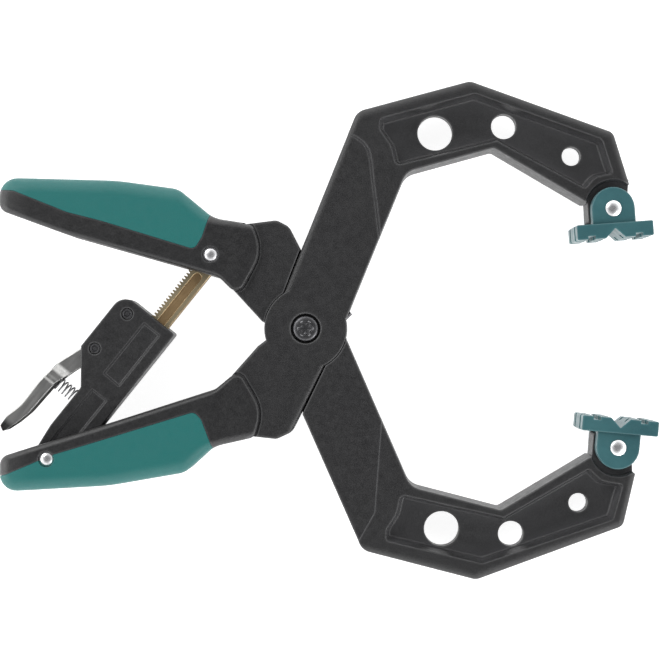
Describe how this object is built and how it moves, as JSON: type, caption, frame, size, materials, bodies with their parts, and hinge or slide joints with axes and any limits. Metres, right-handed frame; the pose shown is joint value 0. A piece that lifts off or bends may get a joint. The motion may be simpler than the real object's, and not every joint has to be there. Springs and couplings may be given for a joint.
{
  "type": "ratcheting spring clamp",
  "caption": "Hand clamp with black scissor arms, swivelling teal V pads, teal soft grips and a toothed bar that a sprung release lever unlocks.",
  "frame": {"origin": "on the pivot axis, at the flat back end of the pivot's barrel nut", "axes": "+X from the pivot towards the jaws, +Y towards the upper jaw, +Z along the pivot axis out of the front face; the clamp lies on its back side"},
  "size_m": [0.2512, 0.19, 0.027],
  "materials": {
    "arm_plastic": "fine spark-eroded grain, black glass-filled nylon",
    "housing_plastic": "fine grain, black nylon",
    "sleeve_plastic": "smooth satin, black",
    "soft_grip": "matte soft-touch rubber, teal",
    "pad_plastic": "matte rubbery plastic, dark teal",
    "bright_steel": "bright plated",
    "satin_steel": "zinc plated, satin",
    "lever_steel": "pressed sheet, satin grey",
    "black_steel": "black oxide",
    "bronzed_steel": "yellow-passivated, bronze tint"
  },
  "bodies": {
    "front_arm": {"front_arm": "arm_plastic", "lower_handle_sleeve": "sleeve_plastic", "lower_handle_grip": "soft_grip", "lower_handle_rivet": "bright_steel", "pivot_screw": "black_steel", "pivot_barrel_nut": "satin_steel", "pivot_washer": "satin_steel", "torsion_spring": "black_steel"},
    "rear_arm": {"rear_arm": "arm_plastic", "upper_handle_sleeve": "sleeve_plastic", "upper_handle_grip": "soft_grip", "upper_handle_rivet": "bright_steel", "bar_washer_rear": "satin_steel", "bar_washer_front": "satin_steel"},
    "housing": {"housing_front_shell": "housing_plastic", "housing_rear_shell": "housing_plastic", "pawl_pin": "black_steel", "lever_pin": "black_steel", "lever_spring": "bright_steel"},
    "bar": {"ratchet_bar": "bronzed_steel", "bar_stop_pin": "satin_steel"},
    "lever": {"release_lever": "lever_steel"},
    "pawl": {"pawl": "satin_steel"},
    "upper_pad": {"upper_pad": "pad_plastic", "upper_pad_rivet": "bright_steel"},
    "lower_pad": {"lower_pad": "pad_plastic", "lower_pad_rivet": "bright_steel"}
  },
  "joints": [
    {"name": "jaw_pivot", "type": "hinge", "parent": "front_arm", "child": "rear_arm", "pos_m": [0, 0, 0.01], "axis": [0, 0, 1], "range_deg": [0, 25], "stiffness_Nm_per_rad": 0.3, "springref_deg": -20.05, "deforming": ["torsion_spring"]},
    {"name": "housing_pivot", "type": "hinge", "parent": "front_arm", "child": "housing", "pos_m": [-0.098, -0.0494, 0.01], "axis": [0, 0, 1], "range_deg": [-2.7, 0]},
    {"name": "bar_slide", "type": "slide", "parent": "housing", "child": "bar", "axis": [0.6258, 0.78, 0], "range_m": [-0.0194, 0]},
    {"name": "lever_pivot", "type": "hinge", "parent": "housing", "child": "lever", "pos_m": [-0.08089, -0.00762, 0.01], "axis": [0, 0, 1], "range_deg": [0, 9], "stiffness_Nm_per_rad": 0.05, "springref_deg": -5.73, "deforming": ["lever_spring"]},
    {"name": "pawl_pivot", "type": "hinge", "parent": "housing", "child": "pawl", "pos_m": [-0.06847, 0.00562, 0.01], "axis": [0, 0, 1], "range_deg": [-8.2, 0]},
    {"name": "upper_pad_swivel", "type": "hinge", "parent": "front_arm", "child": "upper_pad", "pos_m": [0.1167, 0.0455, 0.01], "axis": [0, 0, 1], "range_deg": [-3, 25]},
    {"name": "lower_pad_swivel", "type": "hinge", "parent": "rear_arm", "child": "lower_pad", "pos_m": [0.1185, -0.0452, 0.01], "axis": [0, 0, -1], "range_deg": [-3, 25]}
  ],
  "couplings": [
    {"joint": "housing_pivot", "follows": "jaw_pivot", "ratio": -0.105},
    {"joint": "bar_slide", "follows": "jaw_pivot", "m_per_rad": -0.04425},
    {"joint": "pawl_pivot", "follows": "lever_pivot", "ratio": -0.9}
  ]
}
